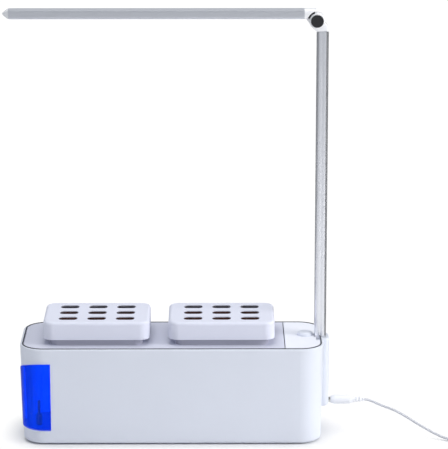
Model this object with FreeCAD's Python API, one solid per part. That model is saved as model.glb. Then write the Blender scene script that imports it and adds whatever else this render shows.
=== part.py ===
import FreeCAD, Part
import math
import os

V = FreeCAD.Vector
os.makedirs("parts", exist_ok=True)

# Countertop hydroponic garden, in millimetres: a tapered white tub with a blue
# water tank inside, two plant baskets under slotted lids, a control panel with
# one push button, and a lamp arm that folds on an aluminium pole. Z is up from
# the table, X runs along the tub, and the window side faces -Y. All places are
# first measured from the middle of the tub, then shifted to the common origin.

# Tub
BODY_LENGTH = 325.0       # left to right across the rim
BODY_WIDTH = 108.0        # front to back across the rim
BODY_HEIGHT = 107.0       # rim above the table
BODY_DRAFT = 2.8          # how far the walls lean in from the rim to the table
CORNER_R = 26.0           # plan radius of the corners at the rim
CASING_WALL = 2.6
CASING_BOTTOM = 1.2       # lower edge of the tub above the table
BOTTOM_EDGE_R = 3.6       # rounding of the lower edge
BOTTOM_RIM_WIDTH = 5.2    # solid lower rim of the tub round the base plate
RIM_EDGE_R = 1.4
RIM_WIDTH = 3.3           # visible band of the rim round the deck
LEDGE_WIDTH = 7.0         # shelf under the deck, measured from the outside
LEDGE_DEPTH = 4.0
PLATE_CLEARANCE = 0.5     # gap round the deck, the panel and the base plate

# Base plate and feet
BASE_PLATE_THICKNESS = 2.4
FOOT_R = 7.0
PLATE_RECESS = 0.4        # base plate above the lower edge of the tub
FOOT_INSET_X = 30.0
FOOT_INSET_Y = 24.0
SCREW_R = 1.5
SCREW_HEAD_R = 2.9
SCREW_HEAD_HEIGHT = 1.3
SCREW_LENGTH = 12.0
SCREW_POST_R = 4.0
SCREW_POST_HEIGHT = 24.0
SCREW_NEAR = 8.0          # screws of the inner and outer pair, from the end of the tank
SCREW_FAR = 30.0

# Water tank and its window in the front left corner
TANK_CLEARANCE = 0.4
TANK_WALL = 1.8
TANK_TOP = BODY_HEIGHT - 12.0
TANK_RIGHT_X = BODY_LENGTH / 2 - 50.5
WINDOW_RIGHT_X = -BODY_LENGTH / 2 + 33.2
WINDOW_BOTTOM = 16.0
WINDOW_TOP = BODY_HEIGHT - 16.0
WINDOW_TOP_SLOPE = 0.37   # fall of the top edge for each millimetre to the back
WINDOW_BOTTOM_SLOPE = 0.08
WINDOW_END_Y = -BODY_WIDTH / 2 + 38.0
WINDOW_PROUD = 1.1
WINDOW_GAP = 0.25

# Level float behind the window
FLOAT_X = -BODY_LENGTH / 2 + 19.5
FLOAT_Y = -BODY_WIDTH / 2 + 18.5
FLOAT_R = 3.2
FLOAT_LENGTH = 12.0
FLOAT_STEM_R = 1.4
FLOAT_STEM_LENGTH = 15.0
FLOAT_CLEARANCE = 0.4
GUIDE_WALL = 1.0
GUIDE_MOUTH = 3.6
GUIDE_END_WALL = 2.0
GUIDE_TOP = TANK_TOP - 5.0

# Deck and control panel, two plates that lie in the rim and stand a little above it
DECK_TOP = BODY_HEIGHT + 0.4
DECK_THICKNESS = 2.4
DECK_SPLIT_X = BODY_LENGTH / 2 - 42.0   # joint between the deck and the control panel
DECK_SPLIT_GAP = 0.9
DECK_SKIRT = 6.0
DECK_EDGE_R = 0.6

# Plant baskets
LID_LEFT_MARGIN = 25.05
LID_SPACING = 20.2        # between the two lids
LID_RIGHT_MARGIN = 10.75
LID_LENGTH = (BODY_LENGTH / 2 - LID_LEFT_MARGIN - LID_SPACING + DECK_SPLIT_X - LID_RIGHT_MARGIN) / 2
LID_DEPTH = BODY_WIDTH - 27.0
LID_BOTTOM = DECK_TOP + 6.6
LID_TOP = LID_BOTTOM + 19.0
LID_CORNER_R = 11.0
LID_TOP_R = 3.2
LID_WALL = 1.8
LID_TOP_WALL = 1.0
LID_CENTRES_X = (LID_LEFT_MARGIN + (LID_LENGTH - BODY_LENGTH) / 2,
                 DECK_SPLIT_X - LID_RIGHT_MARGIN - LID_LENGTH / 2)
SLOT_LENGTH = 20.0
SLOT_WIDTH = 12.0
SLOT_END_R = 4.6
SLOT_PITCH_X = 30.5
SLOT_PITCH_Y = 22.7
COLLAR_LENGTH = LID_LENGTH - 14.0       # basket collar that shows between lid and deck
COLLAR_DEPTH = LID_DEPTH - 7.0
COLLAR_CORNER_R = 9.0
COLLAR_WALL = 2.0
BASKET_LENGTH = COLLAR_LENGTH - 7.5
BASKET_DEPTH = COLLAR_DEPTH - 7.5
BASKET_CORNER_R = 7.0
BASKET_BOTTOM = DECK_TOP - 62.0
BASKET_TAPER = 2.0
BASKET_CLEARANCE = 0.4
ROOT_SLOT_LENGTH = 12.0
ROOT_SLOT_WIDTH = 3.4
ROOT_SLOT_PITCH_X = 20.0
ROOT_SLOT_PITCH_Y = 10.0
MEDIUM_TOP = LID_TOP - 6.0
MEDIUM_CLEARANCE = 0.3

# Notch in the panel beside the foot of the pole
NOTCH_WIDTH = 4.6
NOTCH_LENGTH = 12.0

# Push button and the parts under the panel
BUTTON_X = BODY_LENGTH / 2 - 19.3
BUTTON_Y = 2.0
BUTTON_R = 8.6
BUTTON_HEIGHT = 3.6       # above the panel
BUTTON_DOME_R = 3.0
BUTTON_CLEARANCE = 0.25
BUTTON_FLANGE_R = 10.3
BUTTON_FLANGE_THICKNESS = 1.4
PLUNGER_R = 1.7
PLUNGER_LENGTH = 3.2
SWITCH_SIDE = 6.2
SWITCH_HEIGHT = 3.4
BOARD_THICKNESS = 1.6
BOARD_LENGTH_X = 20.0
BOARD_LENGTH_Y = 56.0
BOARD_CENTRE_X = BODY_LENGTH / 2 - 26.5
BOARD_TOP = DECK_TOP - 10.6
BOARD_POST_R = 2.2

# Pole housing on the right end, with the power socket at its foot
POLE_X = BODY_LENGTH / 2 - 3.1
HOUSING_OUTER_X = POLE_X + 9.6
HOUSING_INNER_X = POLE_X - 8.8
HOUSING_HALF_WIDTH = 12.0
HOUSING_BOTTOM = 29.5
HOUSING_EDGE_R = 5.5
HOUSING_FOOT_R = 5.2
SLEEVE_WALL = 1.3
SLEEVE_BOTTOM = 58.0
JACK_Z = HOUSING_BOTTOM + 5.1
JACK_BODY_R = 5.4
JACK_BODY_LENGTH = 14.0
JACK_NOSE_R = 4.0
JACK_NOSE_LENGTH = 3.6
JACK_SHOULDER_X = HOUSING_OUTER_X - 6.4
JACK_BORE_R = 2.80
JACK_BORE_LENGTH = 9.5
JACK_PIN_R = 0.95

# Pole and elbow
POLE_WIDTH = 12.6
POLE_DEPTH = 13.0
POLE_CORNER_R = 2.4
POLE_WALL = 1.3
POLE_GAP = 0.05           # round the pole in its sleeve and in the rim
POLE_GROOVE_WIDTH = 3.4
POLE_GROOVE_DEPTH = 0.5
POLE_FOOT_Z = 60.0
POLE_TOP = 439.8
WIRE_R = 1.1
AXIS_X = POLE_X - 6.0
AXIS_Z = POLE_TOP + 11.2
CHEEK_R = 8.6
TONGUE_R = 8.3
TONGUE_THICKNESS = 5.0
WASHER_THICKNESS = 0.5
WASHER_R = 6.4
HINGE_RUNNING_GAP = 0.05
SHOULDER_DISTANCE = 9.5   # from the hinge axis to the slanted face of the arm's knuckle
PIN_R = 2.0
CAP_R = 6.7
CAP_THICKNESS = 1.2
INSERT_LENGTH = 16.0
INSERT_CLEARANCE = 0.1

# Lamp arm
ARM_LENGTH = 309.8
ARM_BOTTOM = AXIS_Z + 2.2
ARM_HEIGHT = 10.2
ARM_DEPTH = 13.0
ARM_RIGHT_X = AXIS_X - 13.4
ARM_LEFT_X = ARM_RIGHT_X - ARM_LENGTH
ARM_CORNER_R = 2.6
ARM_WALL = 1.2
CAP_LENGTH = 7.0
DIFFUSER_THICKNESS = 1.2
LED_BOARD_THICKNESS = 1.2
LED_BOARD_HEIGHT = 4.6    # underside of the board above the arm's lower edge
LED_SIDE = 4.6
LED_THICKNESS = 1.4
LED_COUNT = 24
LED_PITCH = 12.2

# Power plug, lead and wall adapter
BARREL_R = 2.75
BARREL_BORE_R = 1.05
BARREL_LENGTH = 9.0
PLUG_NOSE_X = HOUSING_OUTER_X + 2.2
PLUG_LENGTH = 25.0
PLUG_R = 5.0
RELIEF_LENGTH = 12.0
RELIEF_R = 3.3
CORD_D = 2.8
CORD_START_X = PLUG_NOSE_X + PLUG_LENGTH + RELIEF_LENGTH
CORD_ROUTE = (            # from the strain relief down to the table and along it to the coil
    (CORD_START_X, 0.0, JACK_Z),
    (CORD_START_X + 18.8, 0.0, JACK_Z),
    (CORD_START_X + 37.8, -12.0, JACK_Z - 6.1),
    (CORD_START_X + 58.8, -24.5, JACK_Z * 0.39),
    (CORD_START_X + 80.8, -35.5, CORD_D / 2 + 0.1),
    (CORD_START_X + 98.8, -46.5, CORD_D / 2 + 0.1),
    (CORD_START_X + 114.8, -58.0, CORD_D / 2 + 0.1),
)
COIL_LAYERS = 4
COIL_TURNS_PER_LAYER = 2.5
COIL_OUTER_R = 20.5
COIL_GAP = 1.1            # between turns, and between layers
ADAPTER_LENGTH = 62.0
ADAPTER_WIDTH = 36.0
ADAPTER_HEIGHT = 27.0
ADAPTER_EDGE_R = 4.0
ADAPTER_RELIEF_LENGTH = 10.0
TAIL_LENGTH = 22.0
BLADE_LENGTH = 16.0
BLADE_WIDTH = 6.3
BLADE_THICKNESS = 1.5
BLADE_SPACING = 12.7


def box(x0, x1, y0, y1, z0, z1):
    return Part.makeBox(x1 - x0, y1 - y0, z1 - z0, V(x0, y0, z0))


def rod(radius, start, end):
    axis = V(*end) - V(*start)
    return Part.makeCylinder(radius, axis.Length, V(*start), axis)


def fuse(shapes):
    return shapes[0].multiFuse(shapes[1:]).removeSplitter()


def rounded_outline(x0, x1, y0, y1, radius, z):
    """Closed wire of a rectangle with round corners, level at height z."""
    k = radius * (1 - math.sqrt(0.5))
    points = {
        "a": V(x0 + radius, y0, z), "b": V(x1 - radius, y0, z),
        "c": V(x1, y0 + radius, z), "d": V(x1, y1 - radius, z),
        "e": V(x1 - radius, y1, z), "f": V(x0 + radius, y1, z),
        "g": V(x0, y1 - radius, z), "h": V(x0, y0 + radius, z),
    }
    corner = {
        "bc": V(x1 - k, y0 + k, z), "de": V(x1 - k, y1 - k, z),
        "fg": V(x0 + k, y1 - k, z), "ha": V(x0 + k, y0 + k, z),
    }
    edges = []
    for pair in ("ab", "bc", "cd", "de", "ef", "fg", "gh", "ha"):
        start, end = points[pair[0]], points[pair[1]]
        if pair in corner:
            edges.append(Part.Arc(start, corner[pair], end).toShape())
        else:
            edges.append(Part.LineSegment(start, end).toShape())
    return Part.Wire(edges)


def rounded_block(x0, x1, y0, y1, z0, z1, radius):
    face = Part.Face(rounded_outline(x0, x1, y0, y1, radius, z0))
    return face.extrude(V(0, 0, z1 - z0))


def centred_block(cx, length, depth, radius, z0, z1, shrink=0.0):
    half_x = length / 2 - shrink
    half_y = depth / 2 - shrink
    return rounded_block(cx - half_x, cx + half_x, -half_y, half_y, z0, z1, radius - shrink)


def body_outline(z, offset):
    """Outline of the tapered tub at height z, moved out by offset."""
    inset = BODY_DRAFT * (BODY_HEIGHT - z) / BODY_HEIGHT - offset
    half_x = BODY_LENGTH / 2 - inset
    half_y = BODY_WIDTH / 2 - inset
    return rounded_outline(-half_x, half_x, -half_y, half_y, CORNER_R - inset, z)


def body_solid(z0, z1, offset):
    return Part.makeLoft([body_outline(z0, offset), body_outline(z1, offset)], True, True)


def edges_at_height(shape, z):
    found = []
    for edge in shape.Edges:
        box_of_edge = edge.BoundBox
        if abs(box_of_edge.ZMin - z) < 0.01 and abs(box_of_edge.ZMax - z) < 0.01:
            found.append(edge)
    return found


def upright_edges(shape, x=None):
    """Edges that run along Z, all of them or those in the plane at x."""
    found = []
    for edge in shape.Edges:
        b = edge.BoundBox
        if b.XLength < 0.01 and b.YLength < 0.01 and b.ZLength > 0.1:
            if x is None or abs(b.XMin - x) < 0.01:
                found.append(edge)
    return found


def half_plane(shape, x0, x1):
    """The part of a shape between two planes across X."""
    b = shape.BoundBox
    return shape.common(box(x0, x1, b.YMin - 1, b.YMax + 1, b.ZMin - 1, b.ZMax + 1))


def window_cutter(gap):
    """Prism through the front left corner, whose top edge falls to the back."""
    front = -BODY_WIDTH / 2
    outside = front - 10
    top_end = WINDOW_TOP - WINDOW_TOP_SLOPE * (WINDOW_END_Y - front) - gap
    bottom_end = WINDOW_BOTTOM + WINDOW_BOTTOM_SLOPE * (WINDOW_END_Y - front) + gap
    end_y = WINDOW_END_Y - gap
    x = -BODY_LENGTH / 2 - 10
    points = [
        V(x, outside, WINDOW_BOTTOM + gap), V(x, front, WINDOW_BOTTOM + gap),
        V(x, end_y, bottom_end), V(x, end_y, top_end),
        V(x, front, WINDOW_TOP - gap), V(x, outside, WINDOW_TOP - gap),
    ]
    face = Part.Face(Part.makePolygon(points + [points[0]]))
    return face.extrude(V(WINDOW_RIGHT_X - gap - x, 0, 0))


def screw_places():
    """Base plate screws, two pairs in the bay under the control panel."""
    places = []
    for x in (TANK_RIGHT_X + SCREW_NEAR, TANK_RIGHT_X + SCREW_FAR):
        for side in (-1, 1):
            places.append((x, side * (BODY_WIDTH / 2 - BODY_DRAFT - BOTTOM_RIM_WIDTH - SCREW_POST_R)))
    return places


PLATE_BOTTOM = CASING_BOTTOM + PLATE_RECESS
PLATE_TOP = PLATE_BOTTOM + BASE_PLATE_THICKNESS
LEDGE_TOP = DECK_TOP - DECK_THICKNESS
LEDGE_BOTTOM = LEDGE_TOP - LEDGE_DEPTH


def pole_housing():
    """Upright block on the right end that holds the pole and the power socket."""
    block = box(HOUSING_INNER_X, HOUSING_OUTER_X, -HOUSING_HALF_WIDTH, HOUSING_HALF_WIDTH,
                HOUSING_BOTTOM, BODY_HEIGHT)
    block = block.makeFillet(HOUSING_EDGE_R, upright_edges(block, HOUSING_OUTER_X))
    lower = [e for e in edges_at_height(block, HOUSING_BOTTOM)
             if e.BoundBox.XMin > HOUSING_OUTER_X - HOUSING_EDGE_R - 0.01]
    return block.makeFillet(HOUSING_FOOT_R, lower)


def outer_casing():
    shell = body_solid(CASING_BOTTOM, BODY_HEIGHT, 0)
    shell = shell.makeFillet(BOTTOM_EDGE_R, edges_at_height(shell, CASING_BOTTOM))
    shell = fuse([shell, pole_housing()])
    shell = shell.makeFillet(RIM_EDGE_R, edges_at_height(shell, BODY_HEIGHT))
    plate_room = body_solid(CASING_BOTTOM - 1, PLATE_TOP, -BOTTOM_RIM_WIDTH)
    room = body_solid(PLATE_TOP, LEDGE_BOTTOM, -CASING_WALL)
    opening = body_solid(LEDGE_BOTTOM - 1, LEDGE_TOP, -LEDGE_WIDTH)
    top_room = body_solid(LEDGE_TOP, BODY_HEIGHT + 1, -RIM_WIDTH)
    room = fuse([plate_room, room, opening, top_room])
    tower = box(HOUSING_INNER_X, BODY_LENGTH / 2 + 1, -HOUSING_HALF_WIDTH, HOUSING_HALF_WIDTH,
                HOUSING_BOTTOM, LEDGE_BOTTOM)
    shell = shell.cut(room.cut(tower))
    posts = []
    for x, y in screw_places():
        post = rod(SCREW_POST_R, (x, y, PLATE_TOP), (x, y, PLATE_TOP + SCREW_POST_HEIGHT))
        rib = box(x - 1, x + 1, min(y, y * 2), max(y, y * 2), PLATE_TOP, PLATE_TOP + SCREW_POST_HEIGHT)
        posts.append(post)
        posts.append(rib.common(body_solid(PLATE_TOP, PLATE_TOP + SCREW_POST_HEIGHT, -CASING_WALL / 2)))
    shell = fuse([shell] + posts)
    for x, y in screw_places():
        shell = shell.cut(rod(SCREW_R, (x, y, PLATE_TOP - 1), (x, y, PLATE_TOP + SCREW_LENGTH)))
    shell = shell.cut(window_cutter(0))
    half_x = POLE_WIDTH / 2 + SLEEVE_WALL
    half_y = POLE_DEPTH / 2 + SLEEVE_WALL
    shell = shell.cut(box(POLE_X - half_x, POLE_X + half_x, -half_y, half_y, SLEEVE_BOTTOM, LEDGE_BOTTOM))
    shell = shell.cut(pole_section(LEDGE_BOTTOM - 1, BODY_HEIGHT + 1, -POLE_GAP))
    shell = shell.cut(rod(JACK_BODY_R, (HOUSING_INNER_X - 1, 0, JACK_Z), (JACK_SHOULDER_X, 0, JACK_Z)))
    shell = shell.cut(rod(JACK_NOSE_R, (JACK_SHOULDER_X - 1, 0, JACK_Z), (HOUSING_OUTER_X + 1, 0, JACK_Z)))
    wire_way = rod(WIRE_R + 1.5, (POLE_X, 0, JACK_Z + JACK_BODY_R + 6), (POLE_X, 0, SLEEVE_BOTTOM + 1))
    side_way = rod(WIRE_R + 1.5, (HOUSING_INNER_X - 1, 0, JACK_Z + JACK_BODY_R + 8.6),
                   (POLE_X, 0, JACK_Z + JACK_BODY_R + 8.6))
    return shell.cut(fuse([wire_way, side_way]))


def base_plate():
    plate = body_solid(PLATE_BOTTOM, PLATE_TOP, -BOTTOM_RIM_WIDTH - PLATE_CLEARANCE)
    for x, y in screw_places():
        plate = plate.cut(rod(SCREW_R + 0.2, (x, y, PLATE_BOTTOM - 1), (x, y, PLATE_TOP + 1)))
        plate = plate.cut(rod(SCREW_HEAD_R + 0.2, (x, y, PLATE_BOTTOM - 1),
                              (x, y, PLATE_BOTTOM + SCREW_HEAD_HEIGHT)))
    return plate


def base_screws():
    screws = []
    for x, y in screw_places():
        head = rod(SCREW_HEAD_R, (x, y, PLATE_BOTTOM), (x, y, PLATE_BOTTOM + SCREW_HEAD_HEIGHT))
        shank = rod(SCREW_R, (x, y, PLATE_BOTTOM + 0.5), (x, y, PLATE_TOP + SCREW_LENGTH - 1))
        slot = box(x - SCREW_HEAD_R, x + SCREW_HEAD_R, y - 0.35, y + 0.35,
                   PLATE_BOTTOM - 1, PLATE_BOTTOM + 0.5)
        screws.append(head.fuse(shank).cut(slot))
    return Part.makeCompound(screws)


def rubber_feet():
    feet = []
    for side_x in (-1, 1):
        for side_y in (-1, 1):
            x = side_x * (BODY_LENGTH / 2 - FOOT_INSET_X)
            y = side_y * (BODY_WIDTH / 2 - FOOT_INSET_Y)
            foot = rod(FOOT_R, (x, y, 0), (x, y, PLATE_BOTTOM))
            feet.append(foot.makeFillet(0.6, edges_at_height(foot, 0)))
    return Part.makeCompound(feet)


def water_tank():
    """Blue tank whose front left corner stands out through the tub's window."""
    bottom = PLATE_TOP
    outside = -CASING_WALL - TANK_CLEARANCE
    left = -BODY_LENGTH
    outer = half_plane(body_solid(bottom, TANK_TOP, outside), left, TANK_RIGHT_X)
    inner = half_plane(body_solid(bottom + TANK_WALL, TANK_TOP + 5, outside - TANK_WALL),
                       left, TANK_RIGHT_X - TANK_WALL)
    pane = body_solid(bottom + TANK_WALL, TANK_TOP, WINDOW_PROUD).common(window_cutter(WINDOW_GAP))
    tank = fuse([outer, pane])
    return tank.cut(inner)


def float_guide():
    """Slotted tube that keeps the float behind the window."""
    inner_r = FLOAT_R + FLOAT_CLEARANCE
    floor = PLATE_TOP + TANK_WALL
    tube = rod(inner_r + GUIDE_WALL, (FLOAT_X, FLOAT_Y, floor), (FLOAT_X, FLOAT_Y, GUIDE_TOP))
    low, high = floor + GUIDE_END_WALL, GUIDE_TOP - GUIDE_END_WALL
    tube = tube.cut(rod(inner_r, (FLOAT_X, FLOAT_Y, low), (FLOAT_X, FLOAT_Y, high)))
    mouth = box(FLOAT_X - GUIDE_MOUTH / 2, FLOAT_X + GUIDE_MOUTH / 2, FLOAT_Y - inner_r - GUIDE_WALL - 1,
                FLOAT_Y, low, high)
    return tube.cut(mouth)


def level_float():
    """Dark float with an indicator stem, resting low as in an empty tank."""
    low = WINDOW_BOTTOM + 2.0
    body = rod(FLOAT_R, (FLOAT_X, FLOAT_Y, low), (FLOAT_X, FLOAT_Y, low + FLOAT_LENGTH))
    body = body.makeFillet(0.8, [e for z in (low, low + FLOAT_LENGTH) for e in edges_at_height(body, z)])
    stem_top = low + FLOAT_LENGTH + FLOAT_STEM_LENGTH
    stem = rod(FLOAT_STEM_R, (FLOAT_X, FLOAT_Y, low + FLOAT_LENGTH - 1), (FLOAT_X, FLOAT_Y, stem_top))
    return fuse([body, stem])


def float_rest():
    """Small peg under the float that holds it at the window's lower edge."""
    floor = PLATE_TOP + TANK_WALL + GUIDE_END_WALL
    return rod(FLOAT_STEM_R, (FLOAT_X, FLOAT_Y, floor), (FLOAT_X, FLOAT_Y, WINDOW_BOTTOM + 2.0))


def plate_blank():
    return body_solid(LEDGE_TOP, DECK_TOP, -RIM_WIDTH - PLATE_CLEARANCE)


def soften_top(plate, z):
    return plate.makeFillet(DECK_EDGE_R, edges_at_height(plate, z))


def deck_cover():
    """Grey deck plate with two openings that the baskets hang in."""
    deck = half_plane(plate_blank(), -BODY_LENGTH, DECK_SPLIT_X - DECK_SPLIT_GAP / 2)
    deck = soften_top(deck, DECK_TOP)
    skirt_out = body_solid(LEDGE_TOP - DECK_SKIRT, LEDGE_TOP, -LEDGE_WIDTH - PLATE_CLEARANCE)
    skirt_in = body_solid(LEDGE_TOP - DECK_SKIRT - 1, LEDGE_TOP + 1, -LEDGE_WIDTH - PLATE_CLEARANCE - 1.6)
    right = DECK_SPLIT_X - 3.0
    skirt = half_plane(skirt_out, -BODY_LENGTH, right).cut(half_plane(skirt_in, -BODY_LENGTH, right - 1.6))
    deck = fuse([deck, skirt])
    for cx in LID_CENTRES_X:
        hole = centred_block(cx, BASKET_LENGTH, BASKET_DEPTH, BASKET_CORNER_R,
                             LEDGE_TOP - 1, DECK_TOP + 1, -BASKET_CLEARANCE)
        deck = deck.cut(hole)
    return deck


def basket_wall_solid(cx, z0, z1, shrink):
    """Tapered basket form between two heights, drawn in by shrink."""
    wires = []
    for z in (z0, z1):
        taper = BASKET_TAPER * (DECK_TOP - z) / (DECK_TOP - BASKET_BOTTOM)
        half_x = BASKET_LENGTH / 2 - taper - shrink
        half_y = BASKET_DEPTH / 2 - taper - shrink
        radius = BASKET_CORNER_R - taper - shrink
        wires.append(rounded_outline(cx - half_x, cx + half_x, -half_y, half_y, radius, z))
    return Part.makeLoft(wires, True, True)


def plant_basket(cx):
    """Basket that hangs in the deck by its collar, with root slots in its floor."""
    wall = COLLAR_WALL
    collar = centred_block(cx, COLLAR_LENGTH, COLLAR_DEPTH, COLLAR_CORNER_R, DECK_TOP, LID_BOTTOM + 4.0)
    body = basket_wall_solid(cx, BASKET_BOTTOM, DECK_TOP, 0)
    basket = fuse([collar, body])
    inside = basket_wall_solid(cx, BASKET_BOTTOM + wall, LID_BOTTOM + 5.0, wall)
    basket = basket.cut(inside)
    for ix in range(-1, 2):
        for iy in range(-2, 3):
            x = cx + ix * ROOT_SLOT_PITCH_X
            y = iy * ROOT_SLOT_PITCH_Y
            basket = basket.cut(rounded_block(
                x - ROOT_SLOT_LENGTH / 2, x + ROOT_SLOT_LENGTH / 2, y - ROOT_SLOT_WIDTH / 2,
                y + ROOT_SLOT_WIDTH / 2, BASKET_BOTTOM - 1, BASKET_BOTTOM + wall + 1,
                ROOT_SLOT_WIDTH / 2 - 0.01))
    return basket


def plant_lid(cx):
    """Slotted cap with round corners that drops over the basket's collar."""
    lid = centred_block(cx, LID_LENGTH, LID_DEPTH, LID_CORNER_R, LID_BOTTOM, LID_TOP)
    lid = lid.makeFillet(LID_TOP_R, edges_at_height(lid, LID_TOP))
    room_top = LID_TOP - LID_TOP_WALL
    room = centred_block(cx, LID_LENGTH, LID_DEPTH, LID_CORNER_R, LID_BOTTOM - 1, room_top, LID_WALL)
    lid = lid.cut(room.makeFillet(LID_TOP_R - LID_WALL, edges_at_height(room, room_top)))
    shelf = centred_block(cx, LID_LENGTH, LID_DEPTH, LID_CORNER_R, LID_BOTTOM, LID_BOTTOM + LID_WALL,
                          LID_WALL / 2)
    mouth = centred_block(cx, COLLAR_LENGTH, COLLAR_DEPTH, COLLAR_CORNER_R, LID_BOTTOM - 1,
                          LID_BOTTOM + LID_WALL + 1, -BASKET_CLEARANCE)
    stops = []
    for side in (-1, 1):
        edge = cx + side * (COLLAR_LENGTH / 2 - 1.0)
        stops.append(box(edge - 1.0, edge + 1.0, -12, 12, LID_BOTTOM + 4.0, room_top + 0.5))
    lid = fuse([lid, shelf.cut(mouth)] + stops)
    for ix in range(-1, 2):
        for iy in range(-1, 2):
            x = cx + ix * SLOT_PITCH_X
            y = iy * SLOT_PITCH_Y
            lid = lid.cut(rounded_block(x - SLOT_LENGTH / 2, x + SLOT_LENGTH / 2, y - SLOT_WIDTH / 2,
                                        y + SLOT_WIDTH / 2, room_top - 1, LID_TOP + 1, SLOT_END_R))
    return lid


def grow_medium(cx):
    """Dark planting block that fills the basket and shows through the slots."""
    shrink = COLLAR_WALL + MEDIUM_CLEARANCE
    block = basket_wall_solid(cx, BASKET_BOTTOM + COLLAR_WALL, MEDIUM_TOP, shrink)
    return block.makeFillet(2.0, edges_at_height(block, MEDIUM_TOP))


def control_panel():
    panel = half_plane(plate_blank(), DECK_SPLIT_X + DECK_SPLIT_GAP / 2, BODY_LENGTH)
    panel = soften_top(panel, DECK_TOP)
    panel = panel.cut(pole_section(LEDGE_TOP - 1, DECK_TOP + 1, -PLATE_CLEARANCE))
    notch = box(POLE_X - NOTCH_WIDTH, POLE_X, -POLE_DEPTH / 2 - NOTCH_LENGTH, 0, LEDGE_TOP - 1, DECK_TOP + 1)
    panel = panel.cut(notch)
    panel = panel.cut(rod(BUTTON_R + BUTTON_CLEARANCE, (BUTTON_X, BUTTON_Y, LEDGE_TOP - 1),
                          (BUTTON_X, BUTTON_Y, DECK_TOP + 1)))
    posts = []
    for side_x in (-1, 1):
        for side_y in (-1, 1):
            x = BOARD_CENTRE_X + side_x * (BOARD_LENGTH_X / 2 - BOARD_POST_R - 0.6)
            y = side_y * (BOARD_LENGTH_Y / 2 - BOARD_POST_R - 0.6)
            posts.append(rod(BOARD_POST_R, (x, y, BOARD_TOP), (x, y, LEDGE_TOP + 0.5)))
    return fuse([panel] + posts)


def button_levels():
    flange_top = LEDGE_TOP - 0.3
    return flange_top - BUTTON_FLANGE_THICKNESS, flange_top, DECK_TOP + BUTTON_HEIGHT


def push_button():
    low, flange_top, top = button_levels()
    cap = rod(BUTTON_R, (BUTTON_X, BUTTON_Y, low), (BUTTON_X, BUTTON_Y, top))
    cap = cap.makeFillet(BUTTON_DOME_R, edges_at_height(cap, top))
    flange = rod(BUTTON_FLANGE_R, (BUTTON_X, BUTTON_Y, low), (BUTTON_X, BUTTON_Y, flange_top))
    flat = POLE_X - POLE_WIDTH / 2 - 0.7
    flange = flange.cut(box(flat, flat + BUTTON_R, -BUTTON_R - 3, BUTTON_R + 3 + BUTTON_Y, low - 1, top))
    hollow = rod(BUTTON_R - 1.6, (BUTTON_X, BUTTON_Y, low + 1.6), (BUTTON_X, BUTTON_Y, top - 2.6))
    return fuse([cap, flange]).cut(hollow)


def switch_plunger():
    low = button_levels()[0]
    return rod(PLUNGER_R, (BUTTON_X, BUTTON_Y, low - PLUNGER_LENGTH), (BUTTON_X, BUTTON_Y, low))


def tact_switch():
    half = SWITCH_SIDE / 2
    body = box(BUTTON_X - half, BUTTON_X + half, BUTTON_Y - half, BUTTON_Y + half,
               BOARD_TOP, BOARD_TOP + SWITCH_HEIGHT)
    well = rod(PLUNGER_R + 0.1, (BUTTON_X, BUTTON_Y, BOARD_TOP + 0.4),
               (BUTTON_X, BUTTON_Y, BOARD_TOP + SWITCH_HEIGHT + 1))
    return body.cut(well)


def control_board():
    half_x = BOARD_LENGTH_X / 2
    half_y = BOARD_LENGTH_Y / 2
    return box(BOARD_CENTRE_X - half_x, BOARD_CENTRE_X + half_x, -half_y, half_y,
               BOARD_TOP - BOARD_THICKNESS, BOARD_TOP)


def pole_sleeve():
    """Plastic sleeve in the housing that grips the foot of the pole."""
    half_x = POLE_WIDTH / 2 + SLEEVE_WALL
    half_y = POLE_DEPTH / 2 + SLEEVE_WALL
    sleeve = box(POLE_X - half_x, POLE_X + half_x, -half_y, half_y, SLEEVE_BOTTOM, LEDGE_BOTTOM)
    sleeve = sleeve.cut(pole_section(POLE_FOOT_Z, LEDGE_BOTTOM + 1, -POLE_GAP))
    return sleeve.cut(rod(WIRE_R + 0.6, (POLE_X, 0, SLEEVE_BOTTOM - 1), (POLE_X, 0, POLE_FOOT_Z + 1)))


def dc_jack():
    """Round power socket, a 5.5 mm bore with its centre pin."""
    body_start = JACK_SHOULDER_X - JACK_BODY_LENGTH
    face = JACK_SHOULDER_X + JACK_NOSE_LENGTH
    body = rod(JACK_BODY_R, (body_start, 0, JACK_Z), (JACK_SHOULDER_X, 0, JACK_Z))
    nose = rod(JACK_NOSE_R, (JACK_SHOULDER_X - 1, 0, JACK_Z), (face, 0, JACK_Z))
    bore = rod(JACK_BORE_R, (face - JACK_BORE_LENGTH, 0, JACK_Z), (face + 1, 0, JACK_Z))
    pin = rod(JACK_PIN_R, (face - JACK_BORE_LENGTH - 1, 0, JACK_Z), (face - 0.6, 0, JACK_Z))
    return fuse([fuse([body, nose]).cut(bore), pin])


def pole_section(z0, z1, shrink):
    half_x = POLE_WIDTH / 2 - shrink
    half_y = POLE_DEPTH / 2 - shrink
    return rounded_block(POLE_X - half_x, POLE_X + half_x, -half_y, half_y, z0, z1,
                         max(POLE_CORNER_R - shrink, 0.8))


def groove(side, z0, z1):
    """Shallow valley along the front or back face of the extrusion."""
    outer = side * POLE_DEPTH / 2
    points = [
        V(POLE_X - POLE_GROOVE_WIDTH / 2, outer, z0),
        V(POLE_X, outer - side * POLE_GROOVE_DEPTH, z0),
        V(POLE_X + POLE_GROOVE_WIDTH / 2, outer, z0),
        V(POLE_X, outer + side, z0),
    ]
    return Part.Face(Part.makePolygon(points + [points[0]])).extrude(V(0, 0, z1 - z0))


def lamp_pole():
    pole = pole_section(POLE_FOOT_Z, POLE_TOP, 0).cut(pole_section(POLE_FOOT_Z - 1, POLE_TOP + 1, POLE_WALL))
    for side in (-1, 1):
        pole = pole.cut(groove(side, BODY_HEIGHT, POLE_TOP + 1))
    return pole


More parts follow.
